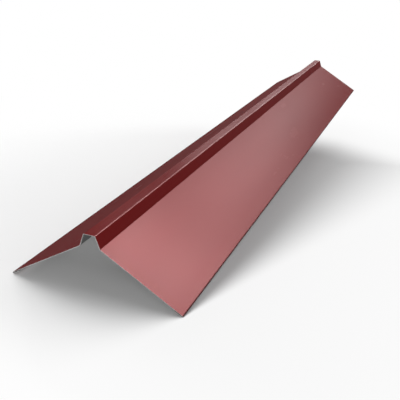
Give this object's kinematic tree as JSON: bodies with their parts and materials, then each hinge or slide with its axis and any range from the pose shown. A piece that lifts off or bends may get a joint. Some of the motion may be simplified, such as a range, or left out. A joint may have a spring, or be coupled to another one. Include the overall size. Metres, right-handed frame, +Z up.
{
  "type": "roof ridge cap",
  "caption": "Bent sheet-steel ridge cap: flanges slope down from a raised flat-topped bead along the middle, and the long edges are folded under as open hems.",
  "frame": {"origin": "under the middle of the cap, on the floor plane that its folded long edges rest on", "axes": "+X across the ridge, +Y along the ridge, +Z up"},
  "size_m": [0.3766, 2, 0.1264],
  "materials": {
    "painted_steel": "semi-gloss wine-red coil coating outside, light grey back coat inside"
  },
  "bodies": {
    "root": {"ridge_cap": "painted_steel"}
  },
  "joints": []
}
